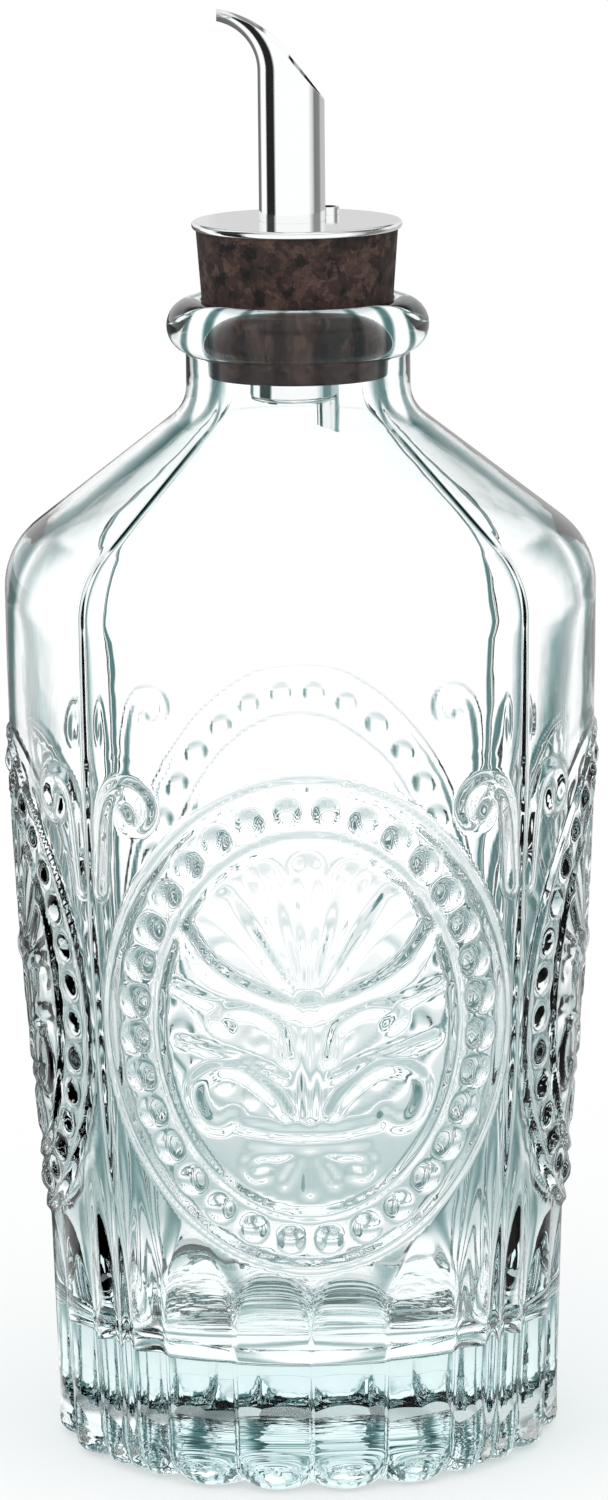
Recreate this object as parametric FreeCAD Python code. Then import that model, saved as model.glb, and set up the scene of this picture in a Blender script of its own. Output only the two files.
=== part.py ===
import FreeCAD, Part
import math
import os

# Glass oil bottle with a cork pourer. Millimetres, +Z up, origin on the axis in the plane it stands on.
# The front panel faces -Y and the spout pours towards -X.

V = FreeCAD.Vector
AXIS = V(0, 0, 1)

# Bottle body: half-widths across opposite panels, from the axis to the middle of a panel
foot_half = 37.9
waist_half = 44.8
waist_height = 71.0
shoulder_half = 47.4
shoulder_height = 140.0
corner_rise = 1.4
shoulder_round = 12.0
slope_angle = 38.0
neck_radius = 17.9
neck_fillet = 6.5
neck_length = 9.5
lip_reach = 20.95
lip_thickness = 8.6

# Inside of the bottle
body_wall = 4.5
floor_height = 19.0
floor_round = 8.0
push_up_radius = 27.0
push_up_depth = 2.0

# Lobes of the skirt: cusp angles from the middle of a panel, where each kind of lobe fades out, and its rise
lobe_cusps = (0.0, 17.2, 34.0, 43.0)
lobe_tops = (39.0, 42.5, 47.0)
lobe_rise = 1.4
narrow_lobe_rise = 0.9
corner_rib_rise = 0.6
corner_rib_top = 47.0
cusp_foot_half = 39.6
cusp_slope = 0.0533
skirt_height = 52.0
toe_height = 5.5
toe_inset = 6.6
toe_scallop = 0.33

# Oval medallion of each panel: two raised rings, with a row of studs between them
medallion_height = 77.2
outer_ring_half_height = 40.1
outer_ring_half_width = 31.6
inner_ring_half_height = 31.5
inner_ring_half_width = 24.2
ring_width = 1.7
ring_rise = 0.8
ring_root = 2.0
stud_row_half_height = 34.9
stud_row_half_width = 27.1
stud_count = 32
stud_sides = 8
stud_radius = 2.3
stud_top_radius = 1.0
stud_rise = 0.9
stud_root = 1.0

# Palmette inside the oval: leaves that fan out above a hub, each shorter than the one above it
hub_above_middle = 3.6
leaf_count = 7
leaf_fan_angle = 17.0
leaf_start = 3.0
leaf_length = 24.5
leaf_shortening = 1.0
leaf_width = 4.0

# Cork
cork_depth = 12.2
cork_length = 23.3
cork_bottom_radius = 14.4
cork_top_radius = 16.1
cork_clearance = 0.15
cork_edge_round = 0.8

# Cover plate on the cork
plate_radius = 16.75
plate_thickness = 1.25
plate_edge_round = 0.55

# Pouring spout, its bend towards -X and the slanting cut of its mouth, measured from the start of the bend
spout_offset = -0.7
spout_diameter = 10.55
spout_wall = 0.65
spout_below_ferrule = 0.4
spout_straight = 23.75
spout_bend_radius = 13.3
mouth_back_drop = 4.7
mouth_middle_rise = 1.8
mouth_quarter_reach = 4.9
mouth_quarter_rise = 6.8
mouth_tip_reach = 11.7
mouth_tip_rise = 9.5

# Ferrule that clamps the cork from below
ferrule_diameter = 14.0
ferrule_length = 3.8
ferrule_round = 0.8

# Vent tube beside the spout
vent_x = 5.0
vent_y = 7.2
vent_diameter = 3.8
vent_wall = 0.5
vent_above_plate = 1.3
vent_below_cork = 13.2
vent_end_slant = 2.3

# Play between each tube and the hole it passes through
tube_clearance = 0.05

panels = 4
panel_span = 360.0 / panels
spare = 10.0
slope_turn = 90.0 - slope_angle


def polar(radius, angle, z):
    a = math.radians(angle)
    return V(radius * math.cos(a), radius * math.sin(a), z)


def flank(z):
    # Half-width of the tapering body: a parabola through its foot, waist and shoulder
    foot_waist = (waist_half - foot_half) / (waist_height - toe_height)
    waist_shoulder = (shoulder_half - waist_half) / (shoulder_height - waist_height)
    bow = (waist_shoulder - foot_waist) / (shoulder_height - toe_height)
    return foot_half + (z - toe_height) * (foot_waist + bow * (z - waist_height))


def shoulder_arc(turn, wall):
    # Point of the rounded shoulder where its normal stands turn degrees above level
    a = math.radians(turn)
    reach = shoulder_round - wall
    centre = shoulder_half - shoulder_round
    return centre + reach * math.cos(a), shoulder_height + reach * math.sin(a)


def fillet_centre(wall, neck):
    a = math.radians(slope_turn)
    start_r, start_z = shoulder_arc(slope_turn, wall)
    reach = neck_fillet + wall
    r = neck + reach
    along = start_r * math.cos(a) + start_z * math.sin(a) + reach
    return r, (along - r * math.cos(a)) / math.sin(a), reach


def fillet_arc(turn, wall, neck):
    # Point of the hollow fillet between shoulder and neck, at the same kind of angle
    a = math.radians(turn)
    r, z, reach = fillet_centre(wall, neck)
    return r - reach * math.cos(a), z - reach * math.sin(a)


lip_minor = lip_thickness / 2
lip_height = fillet_arc(0, 0, neck_radius)[1] + neck_length
cork_bottom = lip_height + lip_minor - cork_depth
cork_top = cork_bottom + cork_length
plate_top = cork_top + plate_thickness
spout_radius = spout_diameter / 2
bend_height = plate_top + spout_straight


def bore_radius(z):
    # The bore that takes the cork has the cork's own taper
    taper = (cork_top_radius - cork_bottom_radius) / cork_length
    return cork_bottom_radius + taper * (z - cork_bottom) + cork_clearance


def corner(half):
    return half + corner_rise * (half - neck_radius) / (shoulder_half - neck_radius)


def panel_centre(half):
    # Where the middle of a panel's arc lies, measured from the axis towards the panel
    edge = corner(half)
    step = math.radians(panel_span / 2)
    return (edge ** 2 - half ** 2) / (2 * (edge * math.cos(step) - half))


def section_radius(half, angle):
    # Radius of the bowed panel, angle degrees from its middle: one arc from crease to crease
    centre = panel_centre(half)
    a = math.radians(min(abs(angle), panel_span - abs(angle)))
    return centre * math.cos(a) + math.sqrt((half - centre) ** 2 - (centre * math.sin(a)) ** 2)


def panel_wire(half, z):
    edges = []
    for i in range(panels):
        middle = i * panel_span - 90
        points = [polar(section_radius(half, a), middle + a, z)
                  for a in (-panel_span / 2, 0, panel_span / 2)]
        edges.append(Part.Arc(*points).toShape())
    return Part.Wire(edges)


def body_profile():
    # Half-width and height of each section, in four stretches: flank, shoulder, slope and neck fillet
    rise = shoulder_height - toe_height
    sides = [(flank(toe_height + rise * s), toe_height + rise * s) for s in (0, 0.25, 0.5, 0.75, 1)]
    shoulder = [shoulder_arc(slope_turn * s, 0) for s in (0, 0.35, 0.7, 1)]
    fillet = [fillet_arc(slope_turn * s, 0, neck_radius) for s in (1, 0.7, 0.35, 0)]
    return [sides, shoulder, [shoulder[-1], fillet[0]], fillet]


def body_loft(grow):
    lofts = []
    for stretch in body_profile():
        wires = [panel_wire(half + grow, z) for half, z in stretch]
        lofts.append(Part.makeLoft(wires, True, False))
    return lofts[0].fuse(lofts[1:])


def lobes():
    # Each lobe of one panel and its corner rib: start and end angle, rise, and height where it fades out
    kinds = []
    for n in range(3):
        rise = narrow_lobe_rise if n == 2 else lobe_rise
        kinds.append((lobe_cusps[n], lobe_cusps[n + 1], rise, lobe_tops[n]))
    mirrored = [(-end, -start, rise, top) for start, end, rise, top in reversed(kinds)]
    rib = (lobe_cusps[3], panel_span - lobe_cusps[3], corner_rib_rise, corner_rib_top)
    return mirrored + kinds + [rib]


def lobe_wire(z, toe):
    # The scalloped outline at one height; toe runs from 0 above the toes to 1 in the plane it stands on
    edges = []
    cusp = cusp_foot_half + cusp_slope * (z - toe_height) - toe_inset * toe
    for i in range(panels):
        middle = i * panel_span - 90
        for start, end, rise, top in lobes():
            low = cusp_foot_half + rise
            crest = low + (flank(top) - low) * (z - toe_height) / (top - toe_height)
            scallop = cusp + toe_scallop * math.radians(end - start) * cusp
            crest += (scallop - crest) * toe
            ends = [polar(section_radius(cusp, a), middle + a, z) for a in (start, end)]
            half_way = (start + end) / 2
            peak = polar(section_radius(crest, half_way), middle + half_way, z)
            edges.append(Part.Arc(ends[0], peak, ends[1]).toShape())
    return Part.Wire(edges)


def skirt():
    upper = Part.makeLoft([lobe_wire(toe_height, 0), lobe_wire(skirt_height, 0)], True, True)
    toes = []
    for share in (0.0, 0.3, 1.0):
        toe = 1 - math.sqrt(1 - (1 - share) ** 2)
        toes.append(lobe_wire(toe_height * share, toe))
    return [upper, Part.makeLoft(toes, True, True)]


def oval_face(half_width, half_height):
    ellipse = Part.Ellipse(V(0, 0, medallion_height), half_height, half_width)
    ellipse.Axis = V(0, 1, 0)
    ellipse.XAxis = AXIS
    return Part.Face(Part.Wire(ellipse.toShape()))


def raised(face, half_width, grown):
    # A flat outline carried through the wall and cut from the grown body, so that its top follows the panel
    depth = shoulder_half + spare
    inner = math.sqrt(waist_half ** 2 - half_width ** 2) - ring_root - body_wall
    face.translate(V(0, -depth, 0))
    return face.extrude(V(0, depth - inner, 0)).common(grown)


def ring_face(half_width, half_height):
    inside = oval_face(half_width - ring_width, half_height - ring_width)
    return oval_face(half_width, half_height).cut(inside)


def leaf_face(place_in_fan):
    # Teardrop outline that widens from the hub to a round tip; the upright leaf has place 0
    a = math.radians(place_in_fan * leaf_fan_angle)
    end = leaf_length - leaf_shortening * abs(place_in_fan)

    def place(across, along):
        x = along * math.sin(a) + across * math.cos(a)
        return V(x, 0, medallion_height + hub_above_middle + along * math.cos(a) - across * math.sin(a))

    half = leaf_width / 2
    start = place(0, leaf_start)
    left = place(-half, end - half)
    right = place(half, end - half)
    sides = [Part.LineSegment(start, left), Part.LineSegment(right, start)]
    tip = Part.Arc(left, place(0, end), right)
    return Part.Face(Part.Wire([sides[0].toShape(), tip.toShape(), sides[1].toShape()]))


def stud(x, z):
    # A low stud with flat sides, standing square on the front panel
    def loop(radius, height):
        corners = [polar(radius, n * 360.0 / stud_sides, height) for n in range(stud_sides)]
        return corners + corners[:1]

    widening = (stud_radius - stud_top_radius) / stud_rise
    low = loop(stud_radius + widening * stud_root, -stud_root)
    high = loop(stud_top_radius, stud_rise)
    outlines = [low, high]
    outlines += [[low[n], low[n + 1], high[n + 1], high[n], low[n]] for n in range(stud_sides)]
    shape = Part.Solid(Part.Shell([Part.Face(Part.makePolygon(outline)) for outline in outlines]))
    centre = panel_centre(flank(z))
    turned = flank(z) - centre
    shape.rotate(V(0, 0, 0), V(1, 0, 0), 90)
    shape.translate(V(0, -turned, z))
    shape.rotate(V(0, 0, 0), AXIS, math.degrees(math.asin(x / turned)))
    shape.translate(V(0, -centre, 0))
    return shape


def stud_row():
    # Studs at even steps along the oval, two of them beside its top
    oval = Part.Ellipse(V(0, 0, 0), stud_row_half_height, stud_row_half_width)
    step = oval.length() / stud_count
    places = [oval.value(oval.parameterAtDistance((n + 0.5) * step)) for n in range(stud_count)]
    return [stud(place.y, medallion_height + place.x) for place in places]


def around_panels(shape):
    copies = []
    for i in range(panels):
        copy = shape.copy()
        copy.rotate(V(0, 0, 0), AXIS, i * panel_span)
        copies.append(copy)
    return copies


def neck_and_lip():
    neck = Part.makeCylinder(neck_radius, neck_length, V(0, 0, lip_height - neck_length))
    lip = Part.makeTorus(lip_reach - lip_minor, lip_minor, V(0, 0, lip_height))
    return [neck, lip]


def spin(points_edges):
    return Part.Face(Part.Wire(points_edges)).revolve(V(0, 0, 0), AXIS, 360)


def cavity():
    # The smooth round inside: floor, flank, shoulder, neck fillet and the bore that takes the cork
    flank_low = floor_height + floor_round
    flank_middle = (flank_low + shoulder_height) / 2
    mouth = lip_height + lip_minor + spare
    neck = bore_radius(lip_height - neck_length)

    def at(r, z):
        return V(r, 0, z)

    low = flank(flank_low) - body_wall
    dip = floor_round * (1 - math.sqrt(0.5))
    floor_edge = at(low - floor_round, floor_height)
    side_start = at(low, flank_low)
    side_end = at(*shoulder_arc(0, body_wall))
    slope_start = at(*shoulder_arc(slope_turn, body_wall))
    slope_end = at(*fillet_arc(slope_turn, body_wall, neck))
    bore_start = at(*fillet_arc(0, body_wall, neck))
    bore_end = at(bore_radius(mouth), mouth)
    edges = [
        Part.LineSegment(at(0, mouth), at(0, floor_height)),
        Part.LineSegment(at(0, floor_height), floor_edge),
        Part.Arc(floor_edge, at(low - dip, floor_height + dip), side_start),
        Part.Arc(side_start, at(flank(flank_middle) - body_wall, flank_middle), side_end),
        Part.Arc(side_end, at(*shoulder_arc(slope_turn / 2, body_wall)), slope_start),
        Part.LineSegment(slope_start, slope_end),
        Part.Arc(slope_end, at(*fillet_arc(slope_turn / 2, body_wall, neck)), bore_start),
        Part.LineSegment(bore_start, bore_end),
        Part.LineSegment(bore_end, at(0, mouth)),
    ]
    return spin([e.toShape() for e in edges])


def push_up():
    reach = (push_up_radius ** 2 + push_up_depth ** 2) / (2 * push_up_depth)
    return Part.makeSphere(reach, V(0, 0, push_up_depth - reach))


def ornament():
    # Everything raised on the front panel
    grown = body_loft(ring_rise)
    middle_leaf = leaf_count // 2
    outer = ring_face(outer_ring_half_width, outer_ring_half_height)
    inner = ring_face(inner_ring_half_width, inner_ring_half_height)
    shapes = [raised(outer, outer_ring_half_width, grown), raised(inner, inner_ring_half_width, grown)]
    shapes += [raised(leaf_face(n - middle_leaf), leaf_length, grown) for n in range(leaf_count)]
    return shapes + stud_row()


def bottle():
    pieces = skirt() + neck_and_lip()
    for shape in ornament():
        pieces += around_panels(shape)
    return body_loft(0).fuse(pieces).cut([cavity(), push_up()]).removeSplitter()


def spout_hole(bottom, top):
    radius = spout_radius + tube_clearance
    return Part.makeCylinder(radius, top - bottom, V(spout_offset, 0, bottom))


def vent_hole(bottom, top):
    radius = vent_diameter / 2 + tube_clearance
    return Part.makeCylinder(radius, top - bottom, V(vent_x, vent_y, bottom))


def level_edges(shape, z):
    return [e for e in shape.Edges if abs(e.BoundBox.ZMin - z) < 1e-6 and abs(e.BoundBox.ZMax - z) < 1e-6]


def cork():
    plug = Part.makeCone(cork_bottom_radius, cork_top_radius, cork_length, V(0, 0, cork_bottom))
    plug = plug.makeFillet(cork_edge_round, level_edges(plug, cork_bottom))
    low = cork_bottom - spare
    high = cork_top + spare
    return plug.cut([spout_hole(low, high), vent_hole(low, high)])


def cap_plate():
    disc = Part.makeCylinder(plate_radius, plate_thickness, V(0, 0, cork_top))
    disc = disc.makeFillet(plate_edge_round, level_edges(disc, cork_top) + level_edges(disc, plate_top))
    low = cork_top - spare
    high = plate_top + spare
    return disc.cut([spout_hole(low, high), vent_hole(low, high)])


def bent_rod(radius, bottom):
    # Straight up to the bend, then over towards -X for a quarter turn
    start = V(spout_offset, 0, bottom)
    bend = V(spout_offset, 0, bend_height)
    straight = Part.makeCylinder(radius, bend_height - bottom, start)
    disc = Part.Face(Part.Wire(Part.makeCircle(radius, bend, AXIS)))
    hub = V(spout_offset - spout_bend_radius, 0, bend_height)
    return straight.fuse(disc.revolve(hub, V(0, -1, 0), 90)).removeSplitter()


def mouth_cut():
    # Everything above the slanting mouth and beyond the tip of the tongue
    def at(x, rise):
        return V(spout_offset + x, -spout_radius - spare, bend_height + rise)

    side = spout_radius + spare
    fall = (mouth_middle_rise + mouth_back_drop) / spout_radius
    back = at(side, -mouth_back_drop - fall * spare)
    middle = at(0, mouth_middle_rise)
    quarter = at(-mouth_quarter_reach, mouth_quarter_rise)
    tip = at(-mouth_tip_reach, mouth_tip_rise)
    low = at(-mouth_tip_reach, -spout_radius)
    far = -mouth_tip_reach - side
    high = mouth_tip_rise + side
    corners = [tip, low, at(far, -spout_radius), at(far, high), at(side, high), back]
    edges = [Part.LineSegment(back, middle).toShape(), Part.Arc(middle, quarter, tip).toShape()]
    edges += [Part.LineSegment(a, b).toShape() for a, b in zip(corners, corners[1:])]
    return Part.Face(Part.Wire(edges)).extrude(V(0, 2 * side, 0))


def spout():
    bottom = cork_bottom - ferrule_length - spout_below_ferrule
    tube = bent_rod(spout_radius, bottom).cut(bent_rod(spout_radius - spout_wall, bottom))
    return tube.cut(mouth_cut())


def lower_ferrule():
    bottom = cork_bottom - ferrule_length
    ring = Part.makeCylinder(ferrule_diameter / 2, ferrule_length, V(spout_offset, 0, bottom))
    ring = ring.makeFillet(ferrule_round, level_edges(ring, bottom))
    return ring.cut(spout_hole(bottom - spare, cork_bottom + spare))


def vent_tube():
    bottom = cork_bottom - vent_below_cork
    top = plate_top + vent_above_plate
    radius = vent_diameter / 2
    tube = Part.makeCylinder(radius, top - bottom, V(vent_x, vent_y, bottom))
    tube = tube.cut(Part.makeCylinder(radius - vent_wall, top - bottom, V(vent_x, vent_y, bottom)))
    left = V(vent_x - radius, vent_y - radius - spare, bottom)
    end = [left, left + V(vent_diameter, 0, 0), left + V(0, 0, vent_end_slant), left]
    return tube.cut(Part.Face(Part.makePolygon(end)).extrude(V(0, vent_diameter + 2 * spare, 0)))


makers = [bottle, cork, cap_plate, spout, lower_ferrule, vent_tube]

os.makedirs("parts", exist_ok=True)
for maker in makers:
    shape = maker()
    if len(shape.Solids) == 1:
        shape = shape.Solids[0]
    shape.exportStep("parts/" + maker.__name__ + ".step")
    box = shape.BoundBox
    print(maker.__name__, shape.ShapeType, len(shape.Solids), shape.isValid(), len(shape.Faces),
          "volume %.0f" % shape.Volume,
          "x %.2f %.2f" % (box.XMin, box.XMax),
          "y %.2f %.2f" % (box.YMin, box.YMax),
          "z %.2f %.2f" % (box.ZMin, box.ZMax))
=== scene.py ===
import math
import bmesh
import bpy
import numpy as np
from mathutils import Matrix, Vector


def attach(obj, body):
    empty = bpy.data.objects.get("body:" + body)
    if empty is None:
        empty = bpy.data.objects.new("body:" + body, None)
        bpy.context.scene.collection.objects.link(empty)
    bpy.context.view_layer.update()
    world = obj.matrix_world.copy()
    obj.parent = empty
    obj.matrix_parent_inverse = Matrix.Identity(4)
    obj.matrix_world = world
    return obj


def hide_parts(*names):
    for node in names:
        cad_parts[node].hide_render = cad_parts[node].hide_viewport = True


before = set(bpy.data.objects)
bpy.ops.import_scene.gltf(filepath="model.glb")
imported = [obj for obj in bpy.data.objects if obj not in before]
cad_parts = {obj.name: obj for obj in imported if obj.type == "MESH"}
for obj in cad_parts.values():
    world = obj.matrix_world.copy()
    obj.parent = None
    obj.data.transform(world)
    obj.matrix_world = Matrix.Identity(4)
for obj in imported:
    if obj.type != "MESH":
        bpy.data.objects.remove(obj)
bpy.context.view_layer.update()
mm = 0.001
print("frame loaded,", len(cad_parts), "nodes")


class Flow:
    # one socket of a node tree; sums on it add Math nodes
    def __init__(self, tree, socket=None):
        self.tree = tree
        self.socket = socket

    def node(self, kind, settings=None, sockets=None, out=0):
        made = self.tree.nodes.new(kind)
        for key, value in (settings or {}).items():
            if key == "stops":
                setStops(made.color_ramp, value)
            else:
                setattr(made, key, value)
        for key, value in (sockets or {}).items():
            if isinstance(value, Flow):
                self.tree.links.new(value.socket, made.inputs[key])
            else:
                made.inputs[key].default_value = value
        return Flow(self.tree, made.outputs[out] if len(made.outputs) else None)

    def other(self, name):
        return Flow(self.tree, self.socket.node.outputs[name])

    def maths(self, operation, *values):
        return self.node("ShaderNodeMath", {"operation": operation}, dict(enumerate(values)))

    def __add__(self, other):
        return self.maths("ADD", self, other)

    def __sub__(self, other):
        return self.maths("SUBTRACT", self, other)

    def __mul__(self, other):
        return self.maths("MULTIPLY", self, other)

    def __truediv__(self, other):
        return self.maths("DIVIDE", self, other)

    def __pow__(self, other):
        return self.maths("POWER", self, other)

    def __radd__(self, other):
        return self.maths("ADD", other, self)

    def __rsub__(self, other):
        return self.maths("SUBTRACT", other, self)

    def __rmul__(self, other):
        return self.maths("MULTIPLY", other, self)

    def atLeast(self, other):
        return self.maths("MAXIMUM", self, other)

    def atMost(self, other):
        return self.maths("MINIMUM", self, other)


def setStops(ramp, stops):
    while len(ramp.elements) < len(stops):
        ramp.elements.new(0.5)  # any place, set just below
    for element, (place, colour) in zip(ramp.elements, stops):
        element.position = place
        element.color = (*colour, 1.0)


def newMaterial(name):
    material = bpy.data.materials.new(name)
    material.use_nodes = True
    material.node_tree.nodes.clear()
    return material, Flow(material.node_tree)


def noise(flow, place, scale, detail=2.0, out="Fac"):
    sockets = {"Vector": place, "Scale": scale, "Detail": detail}
    return flow.node("ShaderNodeTexNoise", None, sockets, out)


def meshObject(name, points, faces, material, smooth=True):
    mesh = bpy.data.meshes.new(name)
    mesh.from_pydata([tuple(p) for p in points], [], faces)
    work = bmesh.new()
    work.from_mesh(mesh)
    bmesh.ops.recalc_face_normals(work, faces=work.faces)
    for face in work.faces:
        face.smooth = smooth
    work.to_mesh(mesh)
    work.free()
    mesh.materials.append(material)
    piece = bpy.data.objects.new(name, mesh)
    bpy.context.scene.collection.objects.link(piece)
    return piece


def settle(piece, body, slot, *nodes):
    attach(piece, body)
    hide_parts(*nodes)
    print("made", piece.name, len(piece.data.polygons), "faces")


# glass: clear, with a faint green-blue tint that deepens with thickness; lengths in metres
glassFinish = {
    "tint": (1.0, 1.0, 1.0, 1.0),
    "sheen": (0.3, 0.3, 0.3, 1.0),
    "ior": 1.5,
    "roughness": 0.0,
    "absorbColour": (0.25, 0.68, 0.70, 1.0),
    "absorbDensity": 5.5,
    "rippleScale": 90.0,
    "rippleHeight": 0.00004,
    "stippleScale": 250.0,
    "stippleHeight": 16.0,  # times the ripple's
    "stippleTop": 0.0045,
}


def glassMaterial():
    look = glassFinish
    material, flow = newMaterial("clearGlass")
    place = flow.node("ShaderNodeTexCoord", out="Object")
    ripple = noise(flow, place, look["rippleScale"])
    # the underside is stippled, so that it shows as a busy pattern through the skirt
    stipple = noise(flow, place, look["stippleScale"])
    level = flow.node("ShaderNodeSeparateXYZ", None, {0: place}, "Z")
    under = level.maths("LESS_THAN", level, look["stippleTop"])
    height = ripple + stipple * under * look["stippleHeight"]
    bump = flow.node("ShaderNodeBump", None, {"Distance": look["rippleHeight"], "Height": height})
    body = flow.node("ShaderNodeBsdfPrincipled", None, {
        "Base Color": look["tint"], "Roughness": look["roughness"], "IOR": look["ior"],
        "Specular Tint": look["sheen"], "Transmission Weight": 1.0, "Normal": bump})
    # light goes straight through, so that the shadow stays pale
    clear = flow.node("ShaderNodeBsdfTransparent")
    shadow = flow.node("ShaderNodeLightPath", out="Is Shadow Ray")
    mixed = flow.node("ShaderNodeMixShader", None, {0: shadow, 1: body, 2: clear})
    inside = flow.node("ShaderNodeVolumeAbsorption", None, {
        "Color": look["absorbColour"], "Density": look["absorbDensity"]})
    flow.node("ShaderNodeOutputMaterial", None, {"Surface": mixed, "Volume": inside})
    return material


# polished steel: fine drawn lines and faint smears; depth in metres
steelFinish = {
    "colour": (0.90, 0.91, 0.91, 1.0),
    "roughness": 0.05,
    "wear": 0.05, "wearScale": 160.0, "wearDetail": 4.0,
    "lineScale": 700.0, "lineStretch": (1.0, 1.0, 0.05), "lineDepth": 0.000004,
}


def steelMaterial():
    look = steelFinish
    material, flow = newMaterial("polishedSteel")
    place = flow.node("ShaderNodeTexCoord", out="Object")
    stretched = flow.node("ShaderNodeMapping", None, {"Vector": place, "Scale": look["lineStretch"]})
    lines = noise(flow, stretched, look["lineScale"])
    smears = noise(flow, place, look["wearScale"], look["wearDetail"])
    rough = smears * look["wear"] + look["roughness"]
    bump = flow.node("ShaderNodeBump", None, {"Distance": look["lineDepth"], "Height": lines})
    body = flow.node("ShaderNodeBsdfPrincipled", None, {
        "Base Color": look["colour"], "Metallic": 1.0, "Roughness": rough, "Normal": bump})
    flow.node("ShaderNodeOutputMaterial", None, {"Surface": body})
    return material


# pressed cork: large and small granules, specks and dark pits; shares add up to the tone, rises to the bump
corkFinish = {
    "warpScale": 380.0, "warpDetail": 5.0, "warp": 0.0034,
    "grainScale": 430.0, "grainShare": 0.5, "grainRise": 0.2,
    "crumbScale": 1100.0, "crumbShare": 0.3,
    "speckScale": 2200.0, "speckDetail": 3.0, "speckShare": 0.5, "speckRise": 0.3,
    "pitScale": 344.0, "pitDetail": 4.0, "pitFrom": 0.36, "pitTo": 0.46, "pitTone": 0.12, "pitRise": 0.6,
    "darken": 0.16,
    "tones": [(0.12, (0.006, 0.004, 0.0035)), (0.5, (0.030, 0.0148, 0.012)), (0.95, (0.088, 0.049, 0.037))],
    "bumpDepth": 0.0003,
    "roughness": 0.8,
}


def corkMaterial():
    look = corkFinish
    material, flow = newMaterial("pressedCork")
    place = flow.node("ShaderNodeTexCoord", out="Object")
    warp = noise(flow, place, look["warpScale"], look["warpDetail"], "Color")
    shift = flow.node("ShaderNodeVectorMath", {"operation": "SCALE"}, {0: warp, "Scale": look["warp"]})
    bent = flow.node("ShaderNodeVectorMath", {"operation": "ADD"}, {0: place, 1: shift})

    def granules(scale):
        cells = flow.node("ShaderNodeTexVoronoi", None, {"Vector": bent, "Scale": scale}, "Color")
        return flow.node("ShaderNodeSeparateColor", None, {0: cells})

    large = granules(look["grainScale"])
    small = granules(look["crumbScale"])
    specks = noise(flow, place, look["speckScale"], look["speckDetail"])
    pits = noise(flow, bent, look["pitScale"], look["pitDetail"])
    tone = large * look["grainShare"] + small * look["crumbShare"] + specks * look["speckShare"]
    colour = flow.node("ShaderNodeValToRGB", {"stops": look["tones"]}, {0: tone - look["darken"]})
    pitted = flow.node("ShaderNodeMapRange", None, {
        0: pits, 1: look["pitFrom"], 2: look["pitTo"], 3: look["pitTone"], 4: 1.0})
    shaded = flow.node("ShaderNodeMix", {"data_type": "RGBA", "blend_type": "MULTIPLY"},
                       {0: 1.0, 6: colour, 7: pitted}, 2)
    height = pitted * look["pitRise"] + large * look["grainRise"] + specks * look["speckRise"]
    bump = flow.node("ShaderNodeBump", None, {"Distance": look["bumpDepth"], "Height": height})
    body = flow.node("ShaderNodeBsdfPrincipled", None, {
        "Base Color": shaded, "Roughness": look["roughness"], "Normal": bump})
    flow.node("ShaderNodeOutputMaterial", None, {"Surface": body})
    return material


# bottle, in millimetres and degrees: half-widths run from the axis to the middle of a panel
bottleShape = {
    "footHalf": 37.9, "footHeight": 5.5,
    "waistHalf": 44.8, "waistHeight": 71.0,
    "shoulderHalf": 47.4, "shoulderHeight": 140.0,
    "cornerRise": 1.4, "creaseRise": 0.36, "creaseWidth": 0.5, "creaseFoot": 47.0, "creaseFade": 5.0,
    "shoulderRound": 12.0, "shoulderSlope": 38.0,
    "neckRadius": 17.9, "neckFillet": 6.5,
    "lipHeight": 181.6, "lipReach": 20.95, "lipMinor": 4.3,
    "boreTop": 15.45, "boreFoot": 14.44, "boreStart": 0.4,
    "wall": 4.5, "upperWall": 3.2, "floorHeight": 19.0, "floorRound": 8.0,
    "pushUpRadius": 27.0, "pushUpDepth": 2.0,
    "innerRound": 15.0, "innerFollow": 0.95,
    "innerWave": 0.07, "waveFade": 20.0,
    "waves": [(3, 17, 0), (5, -11, 2), (2, 29, 1)],  # waves round the inside, pitch in height, start
}
panels = 4
halfPanel = 45.0  # from the middle of a panel to its crease
fullTurn = 90 - bottleShape["shoulderSlope"]  # of the shoulder's round, from upright to its slope

# lobes of the skirt: cusp angles from the middle of a panel, then each lobe's rise and fading height
lobeShape = {
    "cusps": (0.0, 17.2, 34.0, 43.0, 47.0),
    "rises": (1.4, 1.4, 0.9, 0.6),
    "tops": (39.0, 42.5, 47.0, 47.0),
    "cuspFoot": 39.6, "cuspSlope": 0.0533,
    "toeHeight": 5.5, "toeInset": 6.6, "toeScallop": 0.33,
    "blend": 0.12, "blendMargin": 6,
}

# columns of the mesh in degrees across a panel, closer together beside the creases, then its rows
meshGrid = {
    "step": 0.75, "widest": 43.5, "plainStep": 3.0, "tiny": 1e-6,
    "besideCrease": (1.2, 0.9, 0.65, 0.45, 0.28, 0.14),
    "carvedFrom": 36.0, "carvedTo": 119.0, "carvedStep": 0.72,
    "pushUpShares": (0.15, 0.4, 0.65, 0.85, 1.0),
    "toeShares": (0.0, 0.05, 0.14, 0.28, 0.48, 0.72),
    "skirtRows": 17, "flankRows": 16, "shoulderRows": 15, "slopeRows": 20, "filletRows": 8,
    "neckShares": (0.3125, 0.625, 0.9375), "lipRows": 26, "boreRows": 8,
    "innerSlopeRows": 8, "innerShoulderRows": 12, "innerFlankRows": 40, "floorRoundRows": 9,
    "floorShares": (0.8, 0.6, 0.4, 0.2),
}


def flank(z):
    # half-width at a height: a bowed line through foot, waist and shoulder
    s = bottleShape
    low = (s["waistHalf"] - s["footHalf"]) / (s["waistHeight"] - s["footHeight"])
    high = (s["shoulderHalf"] - s["waistHalf"]) / (s["shoulderHeight"] - s["waistHeight"])
    bow = (high - low) / (s["shoulderHeight"] - s["footHeight"])
    return s["footHalf"] + (z - s["footHeight"]) * (low + bow * (z - s["waistHeight"]))


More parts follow.
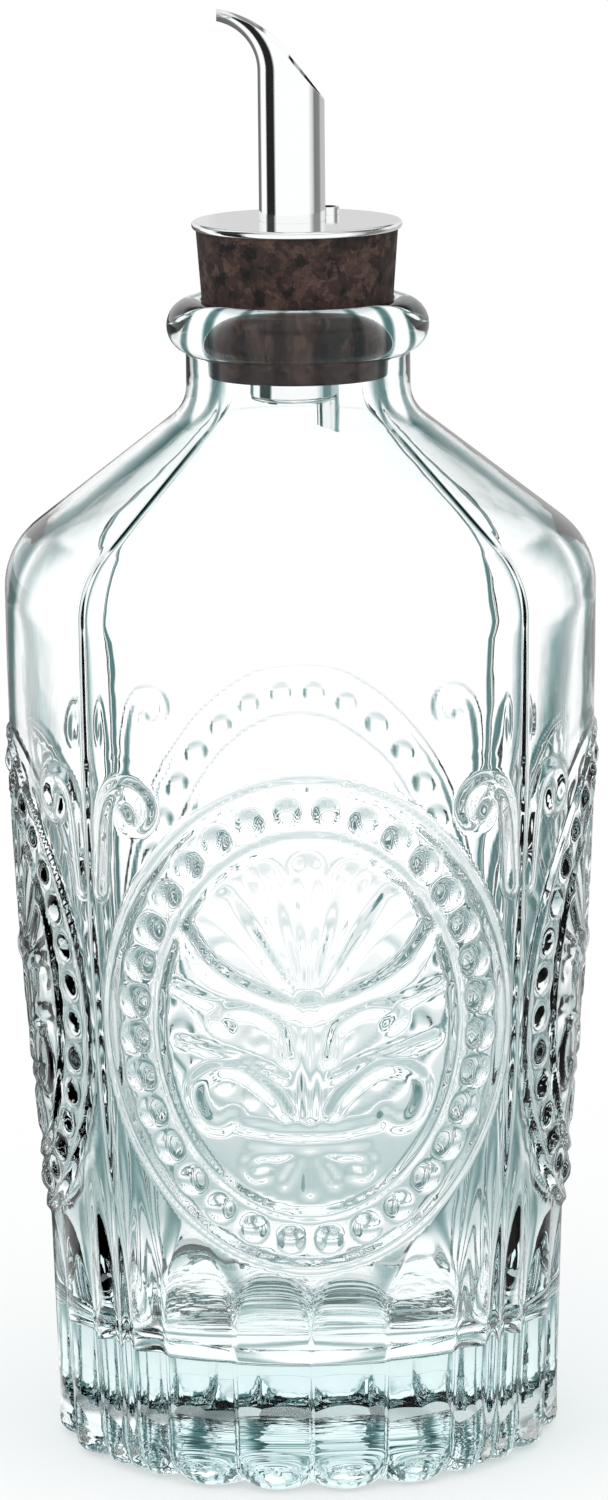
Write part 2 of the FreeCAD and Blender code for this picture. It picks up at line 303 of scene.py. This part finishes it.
def shoulderArc(turn, wall):
    s = bottleShape
    reach = s["shoulderRound"] - wall
    a = np.radians(turn)
    return s["shoulderHalf"] - s["shoulderRound"] + reach * np.cos(a), s["shoulderHeight"] + reach * np.sin(a)


def filletArc(turn, wall, neck):
    # hollow curve between shoulder and neck
    full = math.radians(fullTurn)
    startR, startZ = shoulderArc(fullTurn, wall)
    reach = bottleShape["neckFillet"] + wall
    r = neck + reach
    z = (startR * math.cos(full) + startZ * math.sin(full) + reach - r * math.cos(full)) / math.sin(full)
    a = np.radians(turn)
    return r - reach * np.cos(a), z - reach * np.sin(a)


def lipPoint(turn):
    # radius and height on the bead of the lip, turned up from its widest place
    s = bottleShape
    a = math.radians(turn)
    centre = s["lipReach"] - s["lipMinor"]
    return centre + s["lipMinor"] * math.cos(a), s["lipHeight"] + s["lipMinor"] * math.sin(a)


def lipTurn(radius):
    # where on the bead a radius is met
    s = bottleShape
    centre = s["lipReach"] - s["lipMinor"]
    return math.degrees(math.acos((radius - centre) / s["lipMinor"]))


def between(start, end, rows):
    # points along a straight run, without its two ends
    start, end = np.array(start), np.array(end)
    return [tuple(start + (end - start) * k / rows) for k in range(1, rows)]


def sectionRadius(half, fold):
    # radius of a bowed panel, fold radians from its middle
    s = bottleShape
    edge = half + s["cornerRise"] * (half - s["neckRadius"]) / (s["shoulderHalf"] - s["neckRadius"])
    centre = (edge ** 2 - half ** 2) / (2 * (edge * math.cos(math.radians(halfPanel)) - half))
    return centre * np.cos(fold) + np.sqrt((half - centre) ** 2 - (centre * np.sin(fold)) ** 2)


def lobeHalf(fold, z, toe):
    # half-width of the lobed skirt at a height; toe is 1 in the plane it stands on
    s = lobeShape
    degrees = np.degrees(fold)
    half = np.zeros_like(fold)
    cusp = s["cuspFoot"] + s["cuspSlope"] * (z - s["toeHeight"]) - s["toeInset"] * toe
    for n, (rise, top) in enumerate(zip(s["rises"], s["tops"])):
        start, end = s["cusps"][n], s["cusps"][n + 1]
        low = s["cuspFoot"] + rise
        crest = low + (flank(top) - low) * (z - s["toeHeight"]) / (top - s["toeHeight"])
        scallop = cusp + s["toeScallop"] * math.radians(end - start) * cusp
        crest += (scallop - crest) * toe
        across = (2 * degrees - start - end) / (end - start)
        inside = np.abs(across) <= 1.0
        half = np.where(inside, cusp + (crest - cusp) * (1 - across ** 2), half)
    return half


def creaseRidge(fold, r, z):
    # a fine seam along the crease between two panels, from the skirt to the neck
    s = bottleShape
    beside = (math.radians(halfPanel) - fold) * r
    foot = np.clip((z - s["creaseFoot"]) / s["creaseFade"], 0, 1)
    top = np.clip((r - s["neckRadius"]) / s["creaseFade"], 0, 1)
    return s["creaseRise"] * (foot * top) * np.exp(-(beside / s["creaseWidth"]) ** 2)


def softMax(a, b, blend):
    # the larger of two, rounded where they cross
    return 0.5 * (a + b + np.sqrt((a - b) ** 2 + blend ** 2))


# carved ornament of one panel, in millimetres from the middle of its oval
# each stroke is mirrored: points of its path, half-widths at its start, middle and end, and its rise
ovalCentre = 77.2
carving = {"spread": 1.3, "blend": 4, "pathSteps": 14}
carvedStrokes = [
    ([(0, 4), (0, 16), (0, 25.7)], (1.0, 1.9, 2.6), 0.46),
    ([(-1.0, 5), (-4.2, 15.5), (-6.9, 24.2)], (0.9, 1.8, 2.5), 0.46),
    ([(-1.8, 5), (-7.8, 13.6), (-13.0, 20.6)], (0.9, 1.7, 2.4), 0.46),
    ([(-2, 3.8), (-6, 4.8), (-11.5, 7.2), (-15.6, 10.1), (-18.3, 13.9), (-18.9, 15.4)],
     (1.1, 1.7, 1.2), 0.63),
    ([(-3.2, 2.6), (-9, 2.8), (-15, 4.0), (-20.8, 6.2)], (1.0, 1.3, 0.9), 0.26),
    ([(-3.2, -5), (-4.4, -0.3), (-6.6, 1.9), (-9.4, 3.0), (-12.5, 2.6), (-14.0, 1.2), (-12.8, 0.2)],
     (1.1, 1.4, 1.4), 0.5),
    ([(-4, -8.0), (-8, -6.2), (-13, -4.6), (-20, -2.6)], (1.0, 1.2, 0.9), 0.26),
    ([(-3.6, -14.0), (-5.7, -10.6), (-10.2, -7.0), (-14, -6.7), (-17.3, -9.0), (-17.9, -11.9),
      (-16.3, -15.4), (-13.8, -16.2), (-11.9, -14.9)], (1.2, 1.4, 1.6), 0.54),
    ([(0, 2), (0, -6), (0, -14.5)], (2.4, 2.0, 1.4), 0.38),
    ([(-10.5, -15.9), (-5, -16.9), (0, -17.1)], (1.0, 1.2, 1.2), 0.42),
    ([(-9.0, -20.0), (-4, -20.3), (0, -20.4)], (1.1, 1.0, 1.0), 0.29),
    ([(-5, -20.6), (-8, -20.9), (-9.8, -22.4), (-8.7, -24.3), (-6.8, -23.9)], (1.0, 1.1, 1.3), 0.42),
    ([(0, -21), (0, -24), (0, -26.4)], (1.0, 1.7, 1.6), 0.42),
    ([(-1.2, -21), (-2.8, -23.4), (-3.9, -25.4)], (0.9, 1.2, 1.2), 0.38),
    ([(-32.3, 20), (-32.0, 27), (-31.7, 32), (-30.6, 36.0), (-28.1, 37.6), (-25.5, 36.4), (-24.6, 34.0),
      (-25.6, 31.8), (-27.5, 31.6), (-28.4, 33.2)], (0.9, 1.15, 1.2), 0.59),
    ([(0, 3.2), (0, 3.8)], (2.6, 2.6, 2.6), 0.83),
]


def smoothPath(points, steps):
    # Catmull-Rom curve through the points
    p = np.array(points, float)
    p = np.vstack([2 * p[0] - p[1], p, 2 * p[-1] - p[-2]])
    t = np.linspace(0, 1, steps, endpoint=False)[:, None]
    parts = []
    for a, b, c, d in zip(p, p[1:], p[2:], p[3:]):
        parts.append(0.5 * (2 * b + (c - a) * t + (2 * a - 5 * b + 4 * c - d) * t ** 2
                            + (3 * b - a - 3 * c + d) * t ** 3))
    return np.vstack(parts + [p[-2:-1]])


def carvedHeight(u, v):
    # height of the ornament at places on a panel; strokes that meet run into each other
    spread, blend = carving["spread"], carving["blend"]
    height = np.zeros_like(u)
    for points, widths, rise in carvedStrokes:
        path = smoothPath(points, carving["pathSteps"])
        left, low = path.min(0)
        right, high = path.max(0)
        width = np.interp(np.linspace(0, 1, len(path)), (0, 0.5, 1), widths)
        reach = spread * np.max(widths)
        for side in (1, -1):
            near = ((side * u > left - reach) & (side * u < right + reach)
                    & (v > low - reach) & (v < high + reach))
            if not near.any():
                continue
            gap = (side * u[near][:, None] - path[:, 0]) ** 2 + (v[near][:, None] - path[:, 1]) ** 2
            dome = np.clip(1 - gap / (spread * width) ** 2, 0, 1)
            dome = rise * (dome ** 2).max(1)
            height[near] = (height[near] ** blend + dome ** blend) ** (1 / blend)
    return height


class BottleGrid:
    # rings of points stacked from the underside, up the outside, over the lip and down the inside
    # flat holds each point's place on its panel, which the beaded oval is drawn by
    offPanel = (1.0, 1.0)  # too far away for any relief

    def __init__(self):
        self.points = []
        self.flat = []
        self.faces = []
        self.last = None
        g = meshGrid
        middle = np.arange(-g["widest"], g["widest"] + g["step"] / 2, g["step"])
        beside = np.array(g["besideCrease"])
        folds = np.concatenate([[-halfPanel], beside[::-1] - halfPanel, middle, halfPanel - beside])
        self.signed = np.radians(np.tile(folds, panels))
        self.fold = np.abs(self.signed)
        self.angles = np.radians(np.concatenate([folds + 2 * halfPanel * k for k in range(panels)]))
        # every column, those of the plain panels, and those of what is round
        self.full = np.arange(len(self.angles))
        sparse = np.tile((folds == -halfPanel) | (np.abs(folds % g["plainStep"]) < g["tiny"]), panels)
        self.plain = self.full[sparse | (self.fold > math.radians(g["widest"] - 2 * g["step"]))]
        self.round = self.full[sparse]

    def ring(self, columns, radius, z, carved=False):
        r = np.broadcast_to(radius, columns.shape)
        a = self.angles[columns]
        start = len(self.points)
        self.points += list(zip(r * np.sin(a) * mm, -r * np.cos(a) * mm, np.full(len(r), z * mm)))
        if carved:
            across = r * np.sin(self.signed[columns]) * mm
            self.flat += list(zip(across, np.full(len(r), (z - ovalCentre) * mm)))
        else:
            self.flat += [self.offPanel] * len(r)
        now = (start, columns)
        if self.last is not None:
            self.bridge(self.last, now)
        self.last = now

    def bridge(self, low, high):
        # quads where columns meet, triangles where one ring has more columns
        lowAt, lowColumns = low
        highAt, highColumns = high
        i = j = 0
        n, m = len(lowColumns), len(highColumns)
        end = len(self.angles)
        while i < n or j < m:
            nextLow = lowColumns[i + 1] if i + 1 < n else (end if i < n else end + 1)
            nextHigh = highColumns[j + 1] if j + 1 < m else (end if j < m else end + 1)
            a, b = lowAt + i % n, highAt + j % m
            a2, b2 = lowAt + (i + 1) % n, highAt + (j + 1) % m
            if nextLow == nextHigh:
                self.faces.append((a, a2, b2, b))
                i, j = i + 1, j + 1
            elif nextLow < nextHigh:
                self.faces.append((a, a2, b))
                i += 1
            else:
                self.faces.append((a, b2, b))
                j += 1

    def pole(self, z):
        centre = len(self.points)
        self.points.append((0.0, 0.0, z * mm))
        self.flat.append(self.offPanel)
        return centre


def addUnderside(grid):
    # push-up, out to the ring that the bottle stands on
    s = bottleShape
    centre = grid.pole(s["pushUpDepth"])
    reach = (s["pushUpRadius"] ** 2 + s["pushUpDepth"] ** 2) / (2 * s["pushUpDepth"])
    for share in meshGrid["pushUpShares"]:
        r = s["pushUpRadius"] * share
        grid.ring(grid.round, r, s["pushUpDepth"] - reach + math.sqrt(reach ** 2 - r ** 2))
    first, count = centre + 1, len(grid.round)
    grid.faces += [(centre, first + (k + 1) % count, first + k) for k in range(count)]


def addToes(grid):
    # rounded toes of the lobes
    for share in meshGrid["toeShares"]:
        z = lobeShape["toeHeight"] * share
        toe = 1 - math.sqrt(1 - (1 - share) ** 2)
        grid.ring(grid.full, sectionRadius(lobeHalf(grid.fold, z, toe), grid.fold), z)


def addPanels(grid):
    # lobed skirt and carved panels
    g, t = meshGrid, lobeShape
    heights = list(np.linspace(t["toeHeight"], g["carvedFrom"], g["skirtRows"])[:-1])
    rows = round((g["carvedTo"] - g["carvedFrom"]) / g["carvedStep"])
    heights += list(np.linspace(g["carvedFrom"], g["carvedTo"], rows))
    for z in heights:
        half = np.full(len(grid.fold), flank(z))
        if z < max(t["tops"]) + t["blendMargin"]:
            half = softMax(half, lobeHalf(grid.fold, z, 0.0), t["blend"])
        r = sectionRadius(half, grid.fold)
        if z >= g["carvedFrom"]:
            carved = carvedHeight(r * np.sin(grid.signed), np.full(len(r), z - ovalCentre))
            r = r + carved + creaseRidge(grid.fold, r, z)
        grid.ring(grid.full, r, z, carved=True)


def addShoulder(grid):
    # plain flank, shoulder, slope and the hollow curve to the neck
    s, g = bottleShape, meshGrid
    neck = s["neckRadius"]
    profile = [(flank(z), z) for z in np.linspace(g["carvedTo"], s["shoulderHeight"], g["flankRows"])[1:]]
    profile += [shoulderArc(turn, 0) for turn in np.linspace(0, fullTurn, g["shoulderRows"])[1:]]
    profile += between(profile[-1], filletArc(fullTurn, 0, neck), g["slopeRows"])
    profile += [filletArc(turn, 0, neck) for turn in np.linspace(fullTurn, 0, g["filletRows"])]
    fold = grid.fold[grid.plain]
    for half, z in profile:
        r = sectionRadius(half, fold)
        grid.ring(grid.plain, r + creaseRidge(fold, r, z), z)


def addLip(grid):
    # neck and the bead of its lip
    neck = bottleShape["neckRadius"]
    under, over = lipTurn(neck), lipTurn(bottleShape["boreTop"])
    low, high = filletArc(0, 0, neck)[1], lipPoint(-under)[1]
    for share in meshGrid["neckShares"]:
        grid.ring(grid.round, neck, low + (high - low) * share)
    for turn in np.linspace(-under, over, meshGrid["lipRows"]):
        grid.ring(grid.round, *lipPoint(turn))


def innerProfile():
    # half-widths and heights down the inside: bore, hollow curve, slope, shoulder, flank and floor
    s, g = bottleShape, meshGrid
    wall = s["upperWall"]
    profile = [(s["boreTop"], lipPoint(lipTurn(s["boreTop"]))[1] - s["boreStart"])]
    profile += between(profile[0], filletArc(0, wall, s["boreFoot"]), g["boreRows"])
    profile += [filletArc(turn, wall, s["boreFoot"]) for turn in np.linspace(0, fullTurn, g["filletRows"])]
    extra = s["innerRound"] - (s["shoulderRound"] - wall)
    lower = extra * math.tan(math.radians(fullTurn / 2))
    shoulder = [(s["shoulderHalf"] - wall - s["innerRound"] * (1 - math.cos(a)),
                 s["shoulderHeight"] - lower + s["innerRound"] * math.sin(a))
                for a in np.radians(np.linspace(fullTurn, 0, g["innerShoulderRows"]))]
    profile += between(profile[-1], shoulder[0], g["innerSlopeRows"]) + shoulder
    flankFoot = s["floorHeight"] + s["floorRound"]
    flankTop = shoulder[-1][1]
    for share in np.linspace(0, 1, g["innerFlankRows"])[1:]:
        z = flankTop + (flankFoot - flankTop) * share
        profile.append((flank(z) - wall - (s["wall"] - wall) * share, z))
    low = flank(flankFoot) - s["wall"]
    for a in np.radians(np.linspace(0, 90, g["floorRoundRows"])[1:]):
        profile.append((low - s["floorRound"] * (1 - math.cos(a)), flankFoot - s["floorRound"] * math.sin(a)))
    return profile + [((low - s["floorRound"]) * share, s["floorHeight"]) for share in g["floorShares"]]


def addInside(grid):
    # the inside follows the panels and is a little wavy, as blown glass is
    s = bottleShape
    around, fold = grid.angles[grid.round], grid.fold[grid.round]
    boreEnd = filletArc(0, s["upperWall"], s["boreFoot"])[1]
    for r, z in innerProfile():
        wave = sum(np.sin(count * around + z / pitch + start) for count, pitch, start in s["waves"])
        calm = min(1.0, max(0.0, (boreEnd - z) / s["waveFade"]))
        follow = s["innerFollow"] * (sectionRadius(r, fold) - r) if r > s["neckRadius"] else 0.0
        grid.ring(grid.round, r + follow + s["innerWave"] * calm * wave * min(1.0, r / s["waveFade"]), z)
    at, count = grid.last[0], len(grid.round)
    centre = grid.pole(s["floorHeight"])
    grid.faces += [(centre, at + k, at + (k + 1) % count) for k in range(count)]


def buildBottleGrid():
    grid = BottleGrid()
    for addRows in (addUnderside, addToes, addPanels, addShoulder, addLip, addInside):
        addRows(grid)
    return grid


# beaded oval of each panel, in millimetres
ovalRelief = {
    "Outer Ring Width": 30.75, "Outer Ring Height": 39.25,
    "Inner Ring Width": 23.35, "Inner Ring Height": 30.65,
    "Bead Row Width": 27.1, "Bead Row Height": 34.9,
    "Bead Radius": 2.4, "Bead Rise": 1.0,
    "Ring Half Width": 0.95, "Ring Rise": 0.65,
}
beadCount = 32
ovalPoints = 256


def ovalTree(material):
    tree = bpy.data.node_groups.new("beadedOval", "GeometryNodeTree")
    face = tree.interface
    face.new_socket("Geometry", in_out="INPUT", socket_type="NodeSocketGeometry")
    for name in ovalRelief:
        face.new_socket(name, in_out="INPUT", socket_type="NodeSocketFloat")
    face.new_socket("Bead Count", in_out="INPUT", socket_type="NodeSocketInt")
    face.new_socket("Geometry", in_out="OUTPUT", socket_type="NodeSocketGeometry")
    flow = Flow(tree)
    given = flow.node("NodeGroupInput")
    flat = flow.node("GeometryNodeInputNamedAttribute", {"data_type": "FLOAT_VECTOR"}, {"Name": "flatPlace"})

    def oval(name):
        circle = flow.node("GeometryNodeCurvePrimitiveCircle", None,
                           {"Resolution": ovalPoints, "Radius": 1.0})
        size = flow.node("ShaderNodeCombineXYZ", None, {
            0: given.other(name + " Width"), 1: given.other(name + " Height"), 2: 1.0})
        return flow.node("GeometryNodeTransform", None, {"Geometry": circle, "Scale": size})

    def gap(target, element):
        return flow.node("GeometryNodeProximity", {"target_element": element},
                         {0: target, "Sample Position": flat}, "Distance")

    def dome(away, reach, rise):
        share = (1 - (away / given.other(reach)) ** 2).atLeast(0)
        return share * given.other(rise)

    def ridge(name):
        line = flow.node("GeometryNodeCurveToMesh", None, {0: oval(name)})
        return dome(gap(line, "EDGES"), "Ring Half Width", "Ring Rise")

    # twice the beads along the oval, then every other one, so that two of them straddle the top
    dots = flow.node("GeometryNodeCurveToPoints", {"mode": "COUNT"},
                     {0: oval("Bead Row"), "Count": given.other("Bead Count") * 2}, "Points")
    index = flow.node("GeometryNodeInputIndex")
    spare = 1 - index.maths("MODULO", index, 2)
    beads = flow.node("GeometryNodeDeleteGeometry", {"domain": "POINT"}, {0: dots, "Selection": spare})
    height = ridge("Outer Ring").atLeast(ridge("Inner Ring"))
    height = height.atLeast(dome(gap(beads, "POINTS"), "Bead Radius", "Bead Rise"))
    lift = flow.node("ShaderNodeVectorMath", {"operation": "SCALE"},
                     {0: flow.node("GeometryNodeInputNormal"), "Scale": height})
    raised = flow.node("GeometryNodeSetPosition", None, {"Geometry": given, "Offset": lift})
    whole = flow.node("GeometryNodeRealizeInstances", None, {0: raised})
    finished = flow.node("GeometryNodeSetMaterial", None, {"Geometry": whole, "Material": material})
    flow.node("NodeGroupOutput", None, {0: finished})
    return tree


def applyTree(piece, tree, values):
    # sets the tree's inputs by identifier, then keeps the result as a plain mesh
    modifier = piece.modifiers.new(tree.name, "NODES")
    modifier.node_group = tree
    for item in tree.interface.items_tree:
        if item.item_type == "SOCKET" and item.in_out == "INPUT" and item.name in values:
            modifier[item.identifier] = values[item.name]
    bpy.context.view_layer.update()
    depsgraph = bpy.context.evaluated_depsgraph_get()
    mesh = bpy.data.meshes.new_from_object(piece.evaluated_get(depsgraph))
    piece.modifiers.remove(modifier)
    piece.data = mesh


def makeBottle(material):
    grid = buildBottleGrid()
    piece = meshObject("moulded_bottle", grid.points, grid.faces, material)
    flat = piece.data.attributes.new("flatPlace", "FLOAT_VECTOR", "POINT")
    flat.data.foreach_set("vector", np.array([(u, v, 0.0) for u, v in grid.flat], np.float32).ravel())
    values = {name: size * mm for name, size in ovalRelief.items()}
    values["Bead Count"] = beadCount
    applyTree(piece, ovalTree(material), values)
    piece.data.attributes.remove(piece.data.attributes["flatPlace"])
    settle(piece, "bottle", "glass", "bottle")


makeBottle(glassMaterial())
cork, steel = corkMaterial(), steelMaterial()
pourerFinish = {"cork": cork, "cap_plate": steel, "spout": steel, "lower_ferrule": steel, "vent_tube": steel}
for name, material in pourerFinish.items():
    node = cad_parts[name]
    node.data.materials.clear()
    node.data.materials.append(material)
print("finished", ", ".join(pourerFinish))


# stage: pale floor and white surroundings; what glass and steel show of them has darker stripes
# screens are a start, a stop and the tone past it; other tones are stops of a ramp
stageLook = {
    "middle": (0.0, 0.0, 0.1),
    "floorSize": 12.0, "floorColour": (0.86, 0.87, 0.87, 1.0), "white": (1.0, 1.0, 1.0, 1.0),
    "shadowFrom": 0.07, "shadowTo": 0.25,  # the floor fades to white between these distances
    # painted light: seen by glass and steel, the floor right under the bottle is a tenth brighter
    "paintedUnderLight": [(0.0, 1.1), (0.044, 1.1), (0.055, 1.0)],
    "worldLight": 0.75, "throughLight": 1.2, "tealShift": 1.42,
    "stripes": 8, "stripeScreen": (-0.1, 0.95, 0.16),
    "nearFrom": 0.25, "nearTo": 0.5, "nearCalm": 0.42,  # stripes weaken on the floor close by
    # painted shade: seen through the glass, looking down is darker, so the floor round the bottle is darkened
    # as by its shadow
    "lowShadeTones": [(0.2, 1.0), (0.36, 0.72), (0.62, 0.5), (0.85, 0.9)],
    "highScreen": (0.2, 0.75, 0.15),
    "overheadTones": [(0.35, 1.0), (0.45, 0.1), (0.52, 0.35), (0.7, 1.0)],
    "lowAround": [(0.0, 0.12), (0.12, 0.2), (0.145, 1.1), (0.215, 1.1), (0.23, 0.02), (0.32, 0.02),
                  (0.34, 1.1), (0.66, 1.1), (0.715, 0.6), (0.73, 0.22), (0.8, 0.25), (0.83, 0.55),
                  (1.0, 0.6)],
    "highAround": [(0.0, 0.8), (0.2, 1.1), (0.23, 0.05), (0.31, 0.05), (0.34, 1.1), (0.66, 1.1),
                   (0.72, 0.3), (0.8, 0.3), (0.84, 1.0), (1.0, 0.7)],
    "glassFaces": 4.0, "steelBounces": 1.0, "countSlack": 0.5,  # of rays that reach steel behind glass
}


def ramp(flow, value, name):
    stops = [(place, (tone, tone, tone)) for place, tone in stageLook[name]]
    return flow.node("ShaderNodeValToRGB", {"stops": stops}, {0: value})


def screen(flow, value, name):
    start, stop, tone = stageLook[name]
    return flow.node("ShaderNodeMapRange", {"interpolation_type": "SMOOTHSTEP"},
                     {0: value, 1: start, 2: stop, 3: 1.0, 4: tone})


def seenThrough(flow, angle, z):
    # studio behind the glass: even stripes round it, weaker on the floor close by, darker low down, which is
    # painted shade on the floor round the bottle, and darker overhead
    look = stageLook
    near = flow.node("ShaderNodeMapRange", None, {
        0: 0 - z, 1: look["nearFrom"], 2: look["nearTo"], 3: 0.0, 4: look["nearCalm"]})
    stripe = 0 - angle.maths("COSINE", angle * look["stripes"]) - near
    tone = screen(flow, stripe, "stripeScreen") * ramp(flow, 0 - z, "lowShadeTones")
    return tone * screen(flow, z, "highScreen") * look["throughLight"]


def surroundings(flow, way, path, around):
    # tone of the studio in a direction, as seen by reflection or through glass
    x = flow.node("ShaderNodeSeparateXYZ", None, {0: way}, "X")
    y, z = x.other("Y"), x.other("Z")
    angle = x.maths("ARCTAN2", x, 0 - y)
    through = seenThrough(flow, angle, z)
    turn = angle / (2 * math.pi) + 0.5
    mirrored = ramp(flow, turn, around) * ramp(flow, z, "overheadTones")
    # steel behind the glass, whose rays cross four faces and reflect once, shows the mirrored tones too
    passed = path.other("Is Transmission Ray")
    slack = stageLook["countSlack"]
    crossed = passed.maths("COMPARE", path.other("Transmission Depth"), stageLook["glassFaces"], slack)
    turned = passed.maths("COMPARE", path.other("Glossy Depth"), stageLook["steelBounces"], slack)
    bent = passed.atLeast(path.other("Is Glossy Ray"))
    clear = passed * (1 - crossed * turned)
    return clear * through + (bent - clear) * mirrored


def tealTone(flow, path, tone, plain=0.0):
    # greys seen through the glass lean to teal, reflections and plain light don't
    shift = path.other("Is Transmission Ray") * (stageLook["tealShift"] - 1) + 1
    red = (tone ** shift).atMost(tone) + plain
    return flow.node("ShaderNodeCombineColor", None, {0: red, 1: tone + plain, 2: tone + plain})


def floorMaterial():
    look = stageLook
    material, flow = newMaterial("paleFloor")
    place = flow.node("ShaderNodeTexCoord", out="Object")
    away = flow.node("ShaderNodeVectorMath", {"operation": "LENGTH"}, {0: place}, "Value")
    path = flow.node("ShaderNodeLightPath")
    body = flow.node("ShaderNodeBsdfDiffuse", None, {"Color": look["floorColour"]})
    # for glass and steel the floor glows with tones in sectors and rings, as seen from the middle of the
    # bottle, with painted shade round the bottle and painted light right under it
    apart = flow.node("ShaderNodeVectorMath", {"operation": "SUBTRACT"}, {0: place, 1: look["middle"]})
    way = flow.node("ShaderNodeVectorMath", {"operation": "NORMALIZE"}, {0: apart})
    tone = surroundings(flow, way, path, "lowAround") * ramp(flow, away, "paintedUnderLight")
    through = flow.node("ShaderNodeEmission", None, {"Color": tealTone(flow, path, tone), "Strength": 1.0})
    white = flow.node("ShaderNodeEmission", None, {"Color": look["white"], "Strength": 1.0})
    fade = flow.node("ShaderNodeMapRange", {"interpolation_type": "SMOOTHSTEP"},
                     {0: away, 1: look["shadowFrom"], 2: look["shadowTo"], 3: 0.0, 4: 1.0})
    faded = fade * path.other("Is Camera Ray")
    seen = flow.node("ShaderNodeMixShader", None, {0: faded, 1: body, 2: white})
    bent = path.other("Is Glossy Ray").atLeast(path.other("Is Transmission Ray"))
    whole = flow.node("ShaderNodeMixShader", None, {0: bent, 1: seen, 2: through})
    flow.node("ShaderNodeOutputMaterial", None, {"Surface": whole})
    return material


def makeFloor():
    half = stageLook["floorSize"] / 2
    corners = [(-half, -half, 0), (half, -half, 0), (half, half, 0), (-half, half, 0)]
    meshObject("floor", corners, [(0, 1, 2, 3)], floorMaterial(), smooth=False)


def makeWorld():
    world = bpy.data.worlds.new("softSurroundings")
    bpy.context.scene.world = world
    world.use_nodes = True
    world.node_tree.nodes.clear()
    flow = Flow(world.node_tree)
    path = flow.node("ShaderNodeLightPath")
    way = flow.node("ShaderNodeTexCoord", out="Generated")
    bent = path.other("Is Glossy Ray").atLeast(path.other("Is Transmission Ray"))
    camera = path.other("Is Camera Ray")
    plain = camera + (1 - bent) * (1 - camera) * stageLook["worldLight"]
    colour = tealTone(flow, path, surroundings(flow, way, path, "highAround"), plain)
    light = flow.node("ShaderNodeBackground", None, {"Color": colour, "Strength": 1.0})
    flow.node("ShaderNodeOutputWorld", None, {0: light})


# soft lamps: place and size in metres, power in watts
softboxes = {
    "keySoftbox": {"place": (-0.9, -0.7, 1.0), "size": 0.7, "power": 12.0},
    "fillSoftbox": {"place": (1.0, -0.5, 0.7), "size": 0.7, "power": 5.0},
}


def makeLamp(name, place, size, power):
    lamp = bpy.data.lights.new(name, "AREA")
    lamp.size = size
    lamp.energy = power
    holder = bpy.data.objects.new(name, lamp)
    holder.location = place
    ahead = Vector(stageLook["middle"]) - Vector(place)
    holder.rotation_euler = ahead.to_track_quat("-Z", "Y").to_euler()
    holder.visible_glossy = False
    holder.visible_transmission = False
    bpy.context.scene.collection.objects.link(holder)


# camera: place in millimetres, angles in degrees, focal length in pixels of the frame's height
cameraView = {
    "distance": 1004.0, "height": 316.6, "side": 0.33,
    "turn": 0.8, "pitch": 11.5, "roll": 0.56,
    "focalPixels": 6345.0, "framePixels": 1500.0, "sensorWidth": 36.0, "clipStart": 0.01,
}


def makeCamera():
    view = cameraView
    data = bpy.data.cameras.new("camera")
    data.sensor_width = view["sensorWidth"]
    data.lens = view["focalPixels"] / view["framePixels"] * data.sensor_width
    data.clip_start = view["clipStart"]
    camera = bpy.data.objects.new("camera", data)
    pitch, roll = math.radians(view["pitch"]), math.radians(view["roll"])
    ahead = Vector((0, math.cos(pitch), -math.sin(pitch)))
    right, up = Vector((1, 0, 0)), Vector((0, math.sin(pitch), math.cos(pitch)))
    turnedRight = right * math.cos(roll) - up * math.sin(roll)
    turnedUp = up * math.cos(roll) + right * math.sin(roll)
    turn = Matrix((turnedRight, turnedUp, -ahead)).transposed().to_4x4()
    place = Vector((view["side"], -view["distance"], view["height"])) * mm
    around = Matrix.Rotation(math.radians(-view["turn"]), 4, "Z")
    camera.matrix_world = around @ Matrix.Translation(place) @ turn
    bpy.context.scene.collection.objects.link(camera)
    bpy.context.scene.camera = camera


makeFloor()
makeWorld()
for name, lamp in softboxes.items():
    makeLamp(name, **lamp)
makeCamera()
bpy.context.scene.view_settings.view_transform = "Standard"
print("stage set with", len(softboxes), "lamps")
